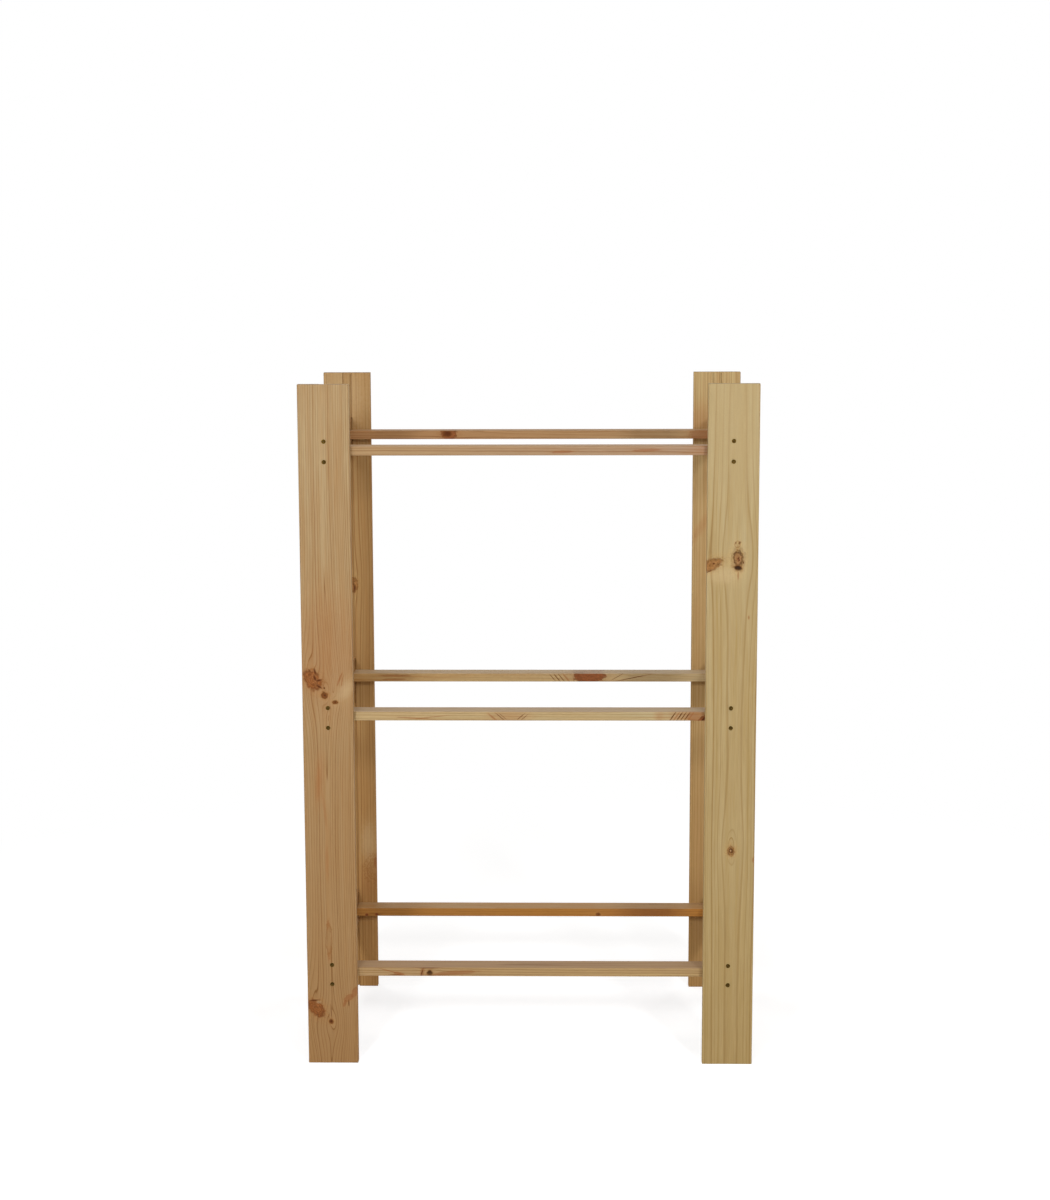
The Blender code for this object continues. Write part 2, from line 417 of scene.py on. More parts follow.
def screw_place(node):
    """The head's middle and the way it faces, from the CAD node's box: the screw is longest along its axis,
    and its head is at the end further from the rack's middle."""
    low, high = node_corners(node)
    axis = int(np.argmax(high - low))
    outward = np.zeros(3)
    outward[axis] = np.sign((low + high)[axis])
    head = (low + high) / 2
    head[axis] = high[axis] if outward[axis] > 0 else low[axis]
    return head, outward


screws, holes = {}, {name: [] for name in boards}
for node in sorted(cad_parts):
    if not node.endswith("_screw"):
        continue
    head, outward = screw_place(node)
    twist = rng.uniform(0, math.pi / 2)
    cos, sin = math.cos(twist), math.sin(twist)
    spin = np.array([[cos, sin, 0], [-sin, cos, 0], [0, 0, 1]])
    points = set_along(SCREW_GRID @ spin, head, outward)
    screws[node] = new_piece(node + ".zinc", points, grid_faces(*SCREW_GRID.shape[:2]))
    words = node.split("_")
    into = f"{words[0]}_{words[1]}_post" if "post" in words else f"{words[1]}_{words[2]}_crosspiece"
    holes[into].append((head, outward))
print(len(screws), "screws")

# %% Countersunk holes
HOLE_TURNS = 32
HOLE_DEPTH = 6 * MM
HOLE_ABOVE = 3 * MM
HOLE_GAP = 0.3 * MM
HEAD_SINK = 0.3 * MM
BOARD_CREASE = math.radians(30)
SCREW_CREASE = math.radians(35)


def hole_grid():
    """The screw's turned shape, wider by the gap: a countersink that runs down to the shank's bore."""
    wide = HEAD_RADIUS + HOLE_GAP
    narrow = SHANK_RADIUS + HOLE_GAP
    radius = np.array([wide, wide, wide, narrow, narrow])[:, None]
    height = np.array([HOLE_ABOVE, HEAD_SINK, -HEAD_RIM, -HEAD_RIM - wide + narrow, -HOLE_DEPTH])[:, None]
    turn = np.linspace(0, 2 * math.pi, HOLE_TURNS, endpoint=False)
    return np.dstack([radius * np.cos(turn), radius * np.sin(turn), height + 0 * turn])


def outward_faces(rows, columns):
    """The faces of a grid whose rows run downwards, turned over so that they point outwards."""
    return [face[::-1] for face in grid_faces(rows, columns)]


def bore(piece, places):
    """Cut all of a board's holes at once and keep the result as the board's own mesh."""
    shape = hole_grid()
    cutter_points = np.stack([set_along(shape, head, outward) for head, outward in places])
    faces = outward_faces(*shape.shape[:2])
    step = shape.shape[0] * shape.shape[1]
    all_faces = [[corner + i * step for corner in face] for i in range(len(places)) for face in faces]
    cutter = new_piece("holes", cutter_points, all_faces)
    boolean = piece.modifiers.new("countersunk holes", "BOOLEAN")
    boolean.operation, boolean.solver, boolean.object = "DIFFERENCE", "EXACT", cutter
    graph = bpy.context.evaluated_depsgraph_get()
    bored = bpy.data.meshes.new_from_object(piece.evaluated_get(graph))
    piece.modifiers.clear()
    piece.data = bored
    bpy.data.objects.remove(cutter)
    bored.set_sharp_from_angle(angle=BOARD_CREASE)


for name, places in holes.items():
    if places:
        bore(boards[name], places)
for piece in screws.values():
    piece.data.flip_normals()
    piece.data.set_sharp_from_angle(angle=SCREW_CREASE)
print("holes bored in", sum(bool(places) for places in holes.values()), "boards")

# %% [markdown]
# ## Lacquered pine
# Pine shows its years: each ring starts as pale, soft earlywood and ends in a thin line of dense, orange
# latewood. The posts were sawn near the heart of the tree, so their lines run straight, wide apart in the
# middle of the face and closer towards its edges. Where a branch grew, the lines part round it as a stream
# parts round a stone. An image of pine could be stretched over the boards, but then faces, edges and end
# grain would disagree. So the pine is solid: every point of a board knows how far it was from the heart of
# the tree.

# %% Sizes of the grain, in millimetres
HEART_WANDER_LENGTH = 420.0
HEART_WANDER = 1.6
RIPPLE_LENGTHS = (14.0, 14.0, 130.0)
RIPPLE = 0.5
UNEVEN_YEARS = 14.0
BAND_LENGTHS = (11.0, 11.0, 320.0)
# Real fibres are far thinner, and are drawn as coarse as they need to show
FIBRE_LENGTHS = (0.8, 0.8, 36.0)
STREAK_LENGTHS = (2.2, 9.0)
SHEEN_AND_WEAR_PATCHES = (9.0, 9.0, 70.0)
KNOT_RAGGED = 6.0
CRACK = 1.8
MARK_DEPTH = 6.0
# A branch runs through the whole board, and each board's noise is taken far from the others'
BRANCH_LENGTH = 1.0e6
BOARDS_APART = 977.0
print("fibres", FIBRE_LENGTHS[2], "mm long")

# %% [markdown]
# A year is told by one ramp: pale for most of the ring, then darker and darker, with a sharp step back to
# the next spring. A knot is told by another, from its middle outwards, measured in knot radii. A live knot
# is red-brown with a darker edge and a pale halo, a dead one is nearly black, and where a branch was cut
# along its length it shows as a reddish leaf. Thin strokes, spikes, stains, clear patches and loops of
# grain lie in the face without parting its lines, and a parting does only that. The stain look also paints
# shade, where a post is darker and warmer just above a rail. Alpha says how much of a mark covers the grain.

# %% Ramps for a year and for knots
LATEWOOD = [
    (0.0, 0.6), (0.05, 0.0), (0.3, 0.02), (0.6, 0.12),
    (0.8, 0.3), (0.89, 1.0), (0.96, 1.0), (1.0, 0.6),
]
KNOT_REACH = 2.2
KNOT_LOOKS = {
    "live": (
        [0.0, 0.3, 0.65, 0.9, 1.05, 1.3, 1.7, KNOT_REACH],
        ["#44220A", "#663812", "#744418", "#603610", "#744A20", "#A4703C", "#B48C56", "#CDB182"],
        [0.97, 0.96, 0.95, 0.92, 0.7, 0.35, 0.12, 0.0],
    ),
    "rimmed": (
        [0.0, 0.12, 0.24, 0.45, 0.6, 0.76, 0.9, 1.02, 1.2, 1.5, KNOT_REACH],
        ["#54220E", "#6A3618", "#8C6036", "#94683C", "#7C5028", "#502E0E"]
        + ["#745024", "#A47C48", "#8A6432", "#C2A46C", "#CDB182"],
        [0.95, 0.92, 0.85, 0.8, 0.82, 0.9, 0.75, 0.45, 0.35, 0.2, 0.0],
    ),
    "eye": (
        [0.0, 0.16, 0.3, 0.5, 0.62, 0.8, 1.0, 1.3, KNOT_REACH],
        ["#D0B48C", "#A87C50", "#4A2A0E", "#6A4018", "#8E6232", "#74461C", "#A07240", "#B8965E", "#C0A46C"],
        [0.85, 0.85, 0.95, 0.92, 0.75, 0.8, 0.5, 0.25, 0.0],
    ),
    "dead": (
        [0.0, 0.5, 0.85, 1.1, 1.4, KNOT_REACH],
        ["#261200", "#2E1600", "#3E2204", "#6A4018", "#98683A", "#A87C4E"],
        [0.98, 0.98, 0.92, 0.6, 0.25, 0.0],
    ),
    "leaf": (
        [0.0, 0.25, 0.4, 0.55, 0.7, 0.85, 1.0, 1.2, KNOT_REACH],
        ["#925C32", "#824E24", "#966036", "#7C481E", "#925A2E", "#76421A", "#804C22", "#A06E3C", "#A87C4E"],
        [0.96, 0.96, 0.95, 0.96, 0.94, 0.92, 0.7, 0.25, 0.0],
    ),
    "brown": (
        [0.0, 0.5, 0.85, 1.0, 1.2, KNOT_REACH],
        ["#865A2C", "#986C3C", "#8C6032", "#764A20", "#AC8650", "#C0A46C"],
        [0.95, 0.93, 0.9, 0.7, 0.25, 0.0],
    ),
    "red": (
        [0.0, 0.5, 0.85, 1.0, 1.15, KNOT_REACH],
        ["#7C4626", "#864C2A", "#804826", "#703C1C", "#94643C", "#A87C4E"],
        [0.96, 0.95, 0.95, 0.85, 0.25, 0.0],
    ),
    "stroke": (
        [0.0, 0.6, 1.0, 1.4, KNOT_REACH],
        ["#50270C", "#562D10", "#6A401C", "#94643C", "#A87C4E"],
        [0.94, 0.9, 0.65, 0.2, 0.0],
    ),
    "spike": (
        [0.0, 0.7, 1.0, 1.4, KNOT_REACH],
        ["#925A32", "#925A32", "#884E28", "#A87C4E", "#A87C4E"],
        [0.65, 0.55, 0.5, 0.15, 0.0],
    ),
    # Real stains, and painted shade where a post is darker and warmer just above a rail
    "stain_and_shade": (
        [0.0, 0.9, 1.5, KNOT_REACH],
        ["#A06C40", "#A06C40", "#A87648", "#A87C4E"],
        [0.4, 0.3, 0.15, 0.0],
    ),
    "pale": ([0.0, 0.8, 1.4, KNOT_REACH], ["#CAB48C", "#CAB48C", "#C8B082", "#C8B082"], [0.4, 0.3, 0.1, 0.0]),
    "clear": ([0.0, 0.8, 1.5, KNOT_REACH], ["#AF9C73"] * 4, [0.55, 0.5, 0.2, 0.0]),
    "loop": ([0.0, 0.55, 0.8, 1.05, KNOT_REACH], ["#865A2E"] * 5, [0.1, 0.08, 0.6, 0.0, 0.0]),
    "parting": ([0.0, KNOT_REACH], ["#A87C4E"] * 2, [0.0, 0.0]),
    "figure": (
        [0.0, 0.36, 0.42, 0.5, 0.64, 0.7, 0.78, 0.92, 0.98, 1.08, KNOT_REACH],
        ["#8A5E30"] * 11,
        [0.0, 0.0, 0.45, 0.0, 0.0, 0.45, 0.0, 0.0, 0.45, 0.0, 0.0],
    ),
}
# Marks that only lie in the face, and knots that part the lines but bring no deeper rings to the face
LYING_LOOKS = ("stroke", "spike", "stain_and_shade", "pale", "clear", "loop", "figure")
PARTING_LOOKS = ("parting", "rimmed", "dead", "brown")


def knot_stops(look):
    """The ramp's stops for one look: reach over KNOT_REACH, with the colour and alpha there."""
    return [(reach / KNOT_REACH, (*linear(c)[:3], alpha)) for reach, c, alpha in zip(*KNOT_LOOKS[look])]


print(len(KNOT_LOOKS), "kinds of knot and mark")

# %% [markdown]
# The material works in millimetres from the board's middle: across its wide face, through it and along it.
# First come the knots, because the rings have to part round them. A Mapping node of the Texture kind moves,
# turns and scales a point into the knot's own measure, so that its distance from nought says how far out it
# lies. Near a knot the grain is read from closer to the knot's middle line, and so its lines swing round
# the knot.

# %% The grain parted by a knot
# The oval that lines part over, in half widths and half lengths of the knot
FLOW_RISE = 0.7
FLOW_WIDE = 1.3
FLOW_LONG = 3.2
BULGE = 1.5
BULGE_MOST = 10.0


def parting_nodes(tree, kind, place, middle, knot):
    """How far the grain shifts: its offset from the knot across the face, and the bulge, over 1 + q
    squared, where q is the distance from a point a little above the knot's middle in units of an oval
    longer than the knot. The bulge brings deeper rings to the face. It grows with the knot up to a limit,
    and looks that only part have none."""
    look, (_, along), (half_wide, half_long), _ = knot
    on_rail = kind == "rail"
    oval = {
        "Vector": place,
        "Location": (*middle[:2], along + FLOW_RISE * half_long),
        "Rotation": (0.0, 0.0, math.pi / 2 if on_rail else 0.0),
        "Scale": (FLOW_WIDE * half_wide, BRANCH_LENGTH, FLOW_LONG * half_long),
    }
    oval = add(tree, "Mapping", oval, vector_type="TEXTURE")[0]
    square = add(tree, "VectorMath", {0: oval, 1: oval}, operation="DOT_PRODUCT")["Value"]
    apart = add(tree, "Math", {0: square, 1: 1.0}, operation="ADD")[0]
    offset = add(tree, "VectorMath", {0: place, 1: middle}, operation="SUBTRACT")[0]
    bulge = 0.0 if look in PARTING_LOOKS else min(BULGE * half_wide, BULGE_MOST)
    kept, raised = ((0, 1, 0), (-bulge, 0, 0)) if on_rail else ((1, 0, 0), (0, -bulge, 0))
    offset = add(tree, "VectorMath", {0: offset, 1: kept, 2: raised}, operation="MULTIPLY_ADD")[0]
    pull = add(tree, "Math", {0: 1.0, 1: apart}, operation="DIVIDE")[0]
    return add(tree, "VectorMath", {0: offset, "Scale": pull}, operation="SCALE")[0]


print("lines part over", FLOW_WIDE, "half widths of a knot")

# %% A knot or a mark
RAGGED_SHARE = (0.22, 0.0, 0.22)
KNOT_TONES = {"To Min": 0.6, "To Max": 1.35}
MARK_TONES = {"To Min": 0.92, "To Max": 1.06}
# Most of a noise texture's values lie in this span
NOISE_SPAN = {"From Min": 0.3, "From Max": 0.7}


def knot_nodes(tree, kind, face, place, ragged, knot):
    """One knot. Its reach is the distance from its middle in units of its half width and half length, made
    ragged by noise. A ramp turns reach to colour and cover, and streaks run along it. A mark that only lies
    in the face has a small depth and shifts nothing. Returns the grain's shift or None, the colour and the
    cover."""
    look, (aside, along), (half_wide, half_long), slant = knot
    lying = look in LYING_LOOKS
    deep = face if lying else 0.0
    middle, upright = ((deep, aside, along), math.pi / 2) if kind == "rail" else ((aside, deep, along), 0.0)
    near = {
        "Vector": place,
        "Location": middle,
        "Rotation": (0.0, math.radians(slant), upright),
        "Scale": (half_wide, MARK_DEPTH if lying else BRANCH_LENGTH, half_long),
    }
    near = add(tree, "Mapping", near, vector_type="TEXTURE")[0]
    near = add(tree, "VectorMath", {0: ragged, 1: RAGGED_SHARE, 2: near}, operation="MULTIPLY_ADD")[0]
    reach = add(tree, "VectorMath", {0: near}, operation="LENGTH")["Value"]
    scaled = add(tree, "Math", {0: reach, 1: 1 / KNOT_REACH}, operation="MULTIPLY")[0]
    ramp = add(tree, "ValToRGB", {"Fac": scaled}, stops=knot_stops(look))
    streaks = (half_wide / STREAK_LENGTHS[0], 1.0, half_long / STREAK_LENGTHS[1])
    streak = add(tree, "VectorMath", {0: near, 1: streaks}, operation="MULTIPLY")[0]
    streak = add(tree, "TexNoise", {"Vector": streak, "Scale": 1.0, "Detail": 3.0, "Distortion": 0.6})["Fac"]
    tones = MARK_TONES if lying else KNOT_TONES
    tone = add(tree, "MapRange", {"Value": streak, **NOISE_SPAN, **tones})[0]
    tint = add(tree, "HueSaturation", {"Value": tone, "Color": ramp["Color"]})[0]
    shift = None if lying else parting_nodes(tree, kind, place, middle, knot)
    return shift, tint, ramp["Alpha"]


print(len(LYING_LOOKS), "looks lie in the face")

# %% [markdown]
# Then come the rings. A year is the distance from the heart line in ring widths: its fraction says where in
# the ring a point lies, and its whole number gives each year a strength of its own. A Wave texture draws
# rings too, but all alike.

# %% The rings
YEAR_STRENGTHS = {"To Min": 0.3, "To Max": 1.0}
YEARS_APART = 31.0


def ring_nodes(tree, own, flow, grain):
    """Share of latewood at each point. The heart line wanders slowly along the board and the rings ripple a
    little. Years are the distance from the heart line over the ring width, made uneven by slow noise along
    the radius; each year's latewood has its own strength."""
    slow = add(tree, "VectorMath", {0: own, 1: (0, 0, 1 / HEART_WANDER_LENGTH)}, operation="MULTIPLY")[0]
    wander = add(tree, "TexNoise", {"Vector": slow, "Scale": 1.0, "Detail": 1.0}, normalize=False)["Color"]
    quick = add(tree, "VectorMath", {0: own, 1: RIPPLE_LENGTHS}, operation="DIVIDE")[0]
    ripple = add(tree, "TexNoise", {"Vector": quick, "Scale": 1.0, "Detail": 2.0}, normalize=False)["Color"]
    for noise, size in ((wander, HEART_WANDER), (ripple, RIPPLE)):
        flow = add(tree, "VectorMath", {0: noise, 1: (size, size, 0), 2: flow}, operation="MULTIPLY_ADD")[0]
    heart = {
        "Vector": flow,
        "Location": (*grain["heart"], 0.0),
        "Rotation": np.radians((*grain["lean"], 0.0)).tolist(),
    }
    heart = add(tree, "Mapping", heart, vector_type="TEXTURE")[0]
    heart = add(tree, "VectorMath", {0: heart, 1: (1.0, 1.0, 0.0)}, operation="MULTIPLY")[0]
    radius = add(tree, "VectorMath", {0: heart}, operation="LENGTH")["Value"]
    uneven = {"W": radius, "Scale": 1 / UNEVEN_YEARS, "Detail": 1.0}
    uneven = add(tree, "TexNoise", uneven, noise_dimensions="1D", normalize=False)["Fac"]
    year = add(tree, "Math", {0: radius, 1: 1 / grain["ring"], 2: uneven}, operation="MULTIPLY_ADD")[0]
    year = add(tree, "Math", {0: year, 1: YEARS_APART * grain["seed"] + grain["phase"]}, operation="ADD")[0]
    within = add(tree, "Math", {0: year}, operation="FRACT")[0]
    stops = [(at, (value,) * 3 + (1,)) for at, value in LATEWOOD]
    share = add(tree, "ValToRGB", {"Fac": within}, stops=stops)
    number = add(tree, "Math", {0: year}, operation="FLOOR")[0]
    strength = add(tree, "TexWhiteNoise", {"W": number}, noise_dimensions="1D")["Value"]
    strength = add(tree, "MapRange", {"Value": strength, **YEAR_STRENGTHS})[0]
    return add(tree, "Math", {0: share["Color"], 1: strength}, operation="MULTIPLY")[0]


print("latewood ramp with", len(LATEWOOD), "stops")

# %% [markdown]
# Over the rings lie the colours: a tone from one end of the board to the other, warmer bands, the latewood
# lines, fine fibres, and then the knots with dark cracks in them. The rails' tops get a paler, greyer colour
# in patches, each rail its own: a painted sheen of reflected light, with some wear. End grain drinks more
# lacquer and looks darker.

# %% The colours of the wood
BAND_SPAN = {"From Min": 0.25, "From Max": 0.75}
WARM_SHARE = {"To Min": 0.05, "To Max": 0.95}
FIBRE_TONES = {"To Min": 0.92, "To Max": 1.06}


def fibre_nodes(tree, own):
    """Noise stretched along the board, with its usual span spread over 0 to 1."""
    thin = add(tree, "VectorMath", {0: own, 1: FIBRE_LENGTHS}, operation="DIVIDE")[0]
    fibre = add(tree, "TexNoise", {"Vector": thin, "Scale": 1.0, "Detail": 3.0})["Fac"]
    return add(tree, "MapRange", {"Value": fibre, **NOISE_SPAN})[0]


def wood_colour(tree, place, own, half_length, latewood, fibre, grain):
    """The two ends' colours are mixed along the board, the warm colour comes in by long bands of noise and
    the latewood's by its share, and the fibres say how light it is."""
    along = add(tree, "SeparateXYZ", {0: place})["Z"]
    share = add(tree, "MapRange", {"Value": along, "From Min": -half_length, "From Max": half_length})[0]
    ends = [linear(colour) for colour in grain["pale"]]
    colour = add(tree, "Mix", {0: share, 6: ends[0], 7: ends[1]}, data_type="RGBA")[2]
    bands = add(tree, "VectorMath", {0: own, 1: BAND_LENGTHS}, operation="DIVIDE")[0]
    bands = add(tree, "TexNoise", {"Vector": bands, "Scale": 1.0, "Detail": 3.0, "Roughness": 0.75})["Fac"]
    warm = add(tree, "MapRange", {"Value": bands, **BAND_SPAN, **WARM_SHARE})[0]
    colour = add(tree, "Mix", {0: warm, 6: colour, 7: linear(grain["warm"])}, data_type="RGBA")[2]
    colour = add(tree, "Mix", {0: latewood, 6: colour, 7: linear(grain["late"])}, data_type="RGBA")[2]
    light = add(tree, "MapRange", {"Value": fibre, **FIBRE_TONES})[0]
    return add(tree, "HueSaturation", {"Value": light, "Color": colour})[0]


print("warm bands", BAND_LENGTHS[2], "mm long")

# %% Knots, wear and end grain over the colours
CRACK_SHARE = {"From Min": 0.6, "From Max": 0.68, "To Max": 0.7}
CRACK_COLOUR = "#46260E"
UPWARD = {"From Min": 0.5, "From Max": 0.9}
# The rails' tops: a painted sheen of reflected light, with some wear
SHEEN_AND_WEAR_SHARE = {"To Min": 0.35, "To Max": 0.7}
END_TONE = {"From Min": 0.5, "To Min": 1.0, "To Max": 0.72}


def cover_with_knots(tree, colour, own, knots):
    """Each knot's colour by its cover. One that runs through the board also has cracks: the noise's peaks,
    times the cover."""
    cracks = add(tree, "TexNoise", {"Vector": own, "Scale": 1 / CRACK, "Detail": 2.0})["Fac"]
    cracks = add(tree, "MapRange", {"Value": cracks, **CRACK_SHARE})[0]
    for shift, tint, cover in knots:
        colour = add(tree, "Mix", {0: cover, 6: colour, 7: tint}, data_type="RGBA")[2]
        if shift:
            split = add(tree, "Math", {0: cracks, 1: cover}, operation="MULTIPLY")[0]
            colour = add(tree, "Mix", {0: split, 6: colour, 7: linear(CRACK_COLOUR)}, data_type="RGBA")[2]
    return colour


def paint_sheen_and_wear(tree, colour, upward, own, worn):
    """Painted sheen and wear: their colour where a face looks up, more in some patches of noise than in
    others.
    """
    above = add(tree, "MapRange", {"Value": upward, **UPWARD})[0]
    patches = add(tree, "VectorMath", {0: own, 1: SHEEN_AND_WEAR_PATCHES}, operation="DIVIDE")[0]
    patches = add(tree, "TexNoise", {"Vector": patches, "Scale": 1.0, "Detail": 3.0})["Fac"]
    sheen_and_wear = add(tree, "MapRange", {"Value": patches, **NOISE_SPAN, **SHEEN_AND_WEAR_SHARE})[0]
    sheen_and_wear = add(tree, "Math", {0: sheen_and_wear, 1: above}, operation="MULTIPLY")[0]
    return add(tree, "Mix", {0: sheen_and_wear, 6: colour, 7: linear(worn)}, data_type="RGBA")[2]


def darken_ends(tree, colour, endways):
    """Lightness falls to the end grain's as a face turns to look along the board."""
    facing = add(tree, "Math", {0: endways}, operation="ABSOLUTE")[0]
    tone = add(tree, "MapRange", {"Value": facing, **END_TONE})[0]
    return add(tree, "HueSaturation", {"Value": tone, "Color": colour})[0]


print("end grain at", END_TONE["To Max"], "of the face's lightness")

# %% [markdown]
# Last comes the lacquer, which is thin and satin, so the grain can be felt a little and highlights are
# broad. The boards' narrow edges are sawn and rougher than their planed faces.

# %% Satin lacquer
SATIN = {"To Min": 0.5, "To Max": 0.62}
SAWN_EDGE = {"From Min": 0.3, "From Max": 0.8, "To Max": 0.25}
FIBRE_RELIEF = 0.5
RELIEF_STRENGTH = 0.35
RELIEF_DEPTH = 0.15 * MM
LACQUER_IOR = 1.5
LACQUER_SPECULAR = 0.13


def lacquer(tree, shader, sideways, fibre, latewood):
    """Roughness rises with the fibres, and by the sawn edges' own where a face looks sideways. The relief
    is the latewood plus a share of the fibres."""
    sawn = add(tree, "Math", {0: sideways}, operation="ABSOLUTE")[0]
    sawn = add(tree, "MapRange", {"Value": sawn, **SAWN_EDGE})[0]
    satin = add(tree, "MapRange", {"Value": fibre, **SATIN})[0]
    satin = add(tree, "Math", {0: satin, 1: sawn}, operation="ADD")[0]
    tree.links.new(satin, shader.inputs["Roughness"])
    relief = add(tree, "Math", {0: fibre, 1: FIBRE_RELIEF, 2: latewood}, operation="MULTIPLY_ADD")[0]
    bump = add(tree, "Bump", {"Height": relief, "Strength": RELIEF_STRENGTH, "Distance": RELIEF_DEPTH})[0]
    tree.links.new(bump, shader.inputs["Normal"])
    shader.inputs["IOR"].default_value = LACQUER_IOR
    shader.inputs["Specular IOR Level"].default_value = LACQUER_SPECULAR


print("lacquer with roughness from", SATIN["To Min"], "to", SATIN["To Max"])

# %% The whole finish of a board


def lacquered_pine(name, kind, grain):
    """Solid pine for one board, from its place in the tree, its colours and its knots. A point's place is
    its distance from the board's middle in millimetres, turned to the board's own axes."""
    material = bpy.data.materials.new("lacquered pine " + name)
    material.use_nodes = True
    tree = material.node_tree
    low, high = node_corners(name)
    half_size = ((high - low) / 2 / MM).tolist()
    across, through, along = AXES[kind]
    turn = np.eye(3)[[across, through, along]]
    coordinates = add(tree, "TexCoord")
    place = {
        "Vector": coordinates["Object"],
        "Location": (-(turn @ (low + high)) / 2 / MM).tolist(),
        "Rotation": Matrix(turn.tolist()).to_euler(),
        "Scale": (1 / MM,) * 3,
    }
    place = add(tree, "Mapping", place)[0]
    own = add(tree, "VectorMath", {0: place, 1: (grain["seed"] * BOARDS_APART,) * 3}, operation="ADD")[0]
    ragged = {"Vector": own, "Scale": 1 / KNOT_RAGGED, "Detail": 1.0}
    ragged = add(tree, "TexNoise", ragged, normalize=False)["Color"]
    face = -half_size[across if kind == "rail" else through]
    knots = [knot_nodes(tree, kind, face, place, ragged, knot) for knot in grain["knots"]]
    flow = place
    for shift, _, _ in knots:
        if shift:
            flow = add(tree, "VectorMath", {0: flow, 1: shift}, operation="SUBTRACT")[0]
    latewood = ring_nodes(tree, own, flow, grain)
    fibre = fibre_nodes(tree, own)
    normal = add(tree, "SeparateXYZ", {0: coordinates["Normal"]})
    colour = wood_colour(tree, place, own, half_size[along], latewood, fibre, grain)
    colour = cover_with_knots(tree, colour, own, knots)
    # A rail's top gets a painted sheen of reflected light, with some wear
    if kind == "rail":
        colour = paint_sheen_and_wear(tree, colour, normal["Z"], own, grain["worn"])
    colour = darken_ends(tree, colour, normal[along])
    shader = tree.nodes["Principled BSDF"]
    tree.links.new(colour, shader.inputs["Base Color"])
    lacquer(tree, shader, normal[across], fibre, latewood)
    return material


print("pine ready")

# %% [markdown]
# Each board came from its own place in a tree, so each has its own heart line, lean, ring width and years.
# Its colours are a pale one for each end, a warm one and the latewood's, and a rail has one more for its
# top: a painted sheen of reflected light, with some wear. A knot is its look, its middle on the face and
# along the board, its half width and half length in millimetres, and its slant from the grain in degrees.
# Posts show their knots on the wide face, rails on the narrow one.

# %% The grain of the front posts
GRAIN = {}


def from_tree(board, **grain):
    """Note a board's grain. Boards are numbered in this order, and the number sets each one's noise apart."""
    GRAIN[board] = {"seed": len(GRAIN) + 1, "phase": 0.0, "knots": (), **grain}


from_tree(
    "front_left_post",
    heart=(-6.0, -5.0),
    lean=(0.05, 0.1),
    ring=3.4,
    phase=0.78,
    pale=("#A58359", "#B7A783"),
    warm="#A17D51",
    late="#7C562E",
    knots=(
        ("stain_and_shade", (0, 145), (46, 80), 0),
        ("pale", (35, 80), (10, 20), 35),
        ("spike", (23, 100), (1.4, 13), 22),
        ("spike", (28, 98), (0.8, 10), 12),
        ("parting", (-6, 76), (11, 9), 0),
        ("leaf", (-28, 99), (14, 21), -32),
        ("stroke", (-23, 114), (1.7, 6), -8),
        ("stroke", (-23.5, 102), (2.2, 5), -15),
        ("stroke", (-16, 98), (5, 1.7), -15),
        ("stroke", (-16, 86), (6, 1.7), 30),
        ("stroke", (-6, 83), (1.6, 1.9), 0),
        ("live", (-5.8, 69), (6.2, 6.4), 0),
        ("live", (14, 56), (5.2, 3.4), 0),
        ("stain_and_shade", (-17, -88), (6, 34), 4),
        ("stain_and_shade", (-20, -100), (3, 20), 4),
        ("stain_and_shade", (-9, -152), (2, 26), -6),
        ("stain_and_shade", (-6.5, -250), (2.2, 24), 0),
        ("loop", (-5, -404), (6.5, 38), 0),
        ("stain_and_shade", (-6, -374), (2, 8), 0),
        ("stain_and_shade", (-5, -434), (2.4, 12), 0),
        ("spike", (43, -509), (5, 10), 25),
        ("spike", (31, -520), (5, 9), 50),
        ("spike", (23, -531), (2.5, 6), 20),
        ("stroke", (31, -530), (0.9, 6), 0),
        ("leaf", (-31, -541), (12, 20), -40),
        ("stroke", (-34, -525), (9, 1.4), -3),
        ("pale", (-27, -529), (3.5, 2), 0),
        ("stroke", (-3, -548), (0.5, 14), -4),
        ("parting", (-3, -580), (15, 12), 0),
        ("live", (-3, -567), (4.0, 4.6), 0),
        ("stroke", (-3, -567), (2.6, 3), 0),
    ),
)
from_tree(
    "front_right_post",
    heart=(6.0, 15.0),
    lean=(0.05, -0.05),
    ring=5.4,
    phase=0.82,
    pale=("#B39E70", "#B9AD8A"),
    warm="#A78F5D",
    late="#937749",
    knots=(
        ("clear", (0, 590), (90, 80), 0),
        ("pale", (-18, 297), (24, 14), 0),
        ("brown", (-42, 315), (10, 24), 69),
        ("stroke", (-35, 318), (2.2, 1.4), -20),
        ("stroke", (-44, 303), (0.7, 6), 70),
        ("parting", (10, 334), (14, 12), 0),
        ("loop", (8.5, 354), (6.5, 7), 0),
        ("stroke", (12.5, 356.5), (1.9, 2.6), 20),
        ("stroke", (5.5, 356.5), (1.1, 1.6), 0),
        ("rimmed", (10.5, 327), (10.2, 18.5), 0),
        ("dead", (10, 310), (7.0, 4.2), 14),
        ("stroke", (20, 320), (0.9, 2.5), 0),
        ("spike", (10.5, 295), (1.2, 6), 0),
        ("eye", (3, -229), (7.5, 10.5), 0),
        ("spike", (45, -247), (1.5, 4), 0),
        ("spike", (31, 217), (1.4, 3), 0),
    ),
)
print("marks on the front posts:", sum(len(grain["knots"]) for grain in GRAIN.values()))

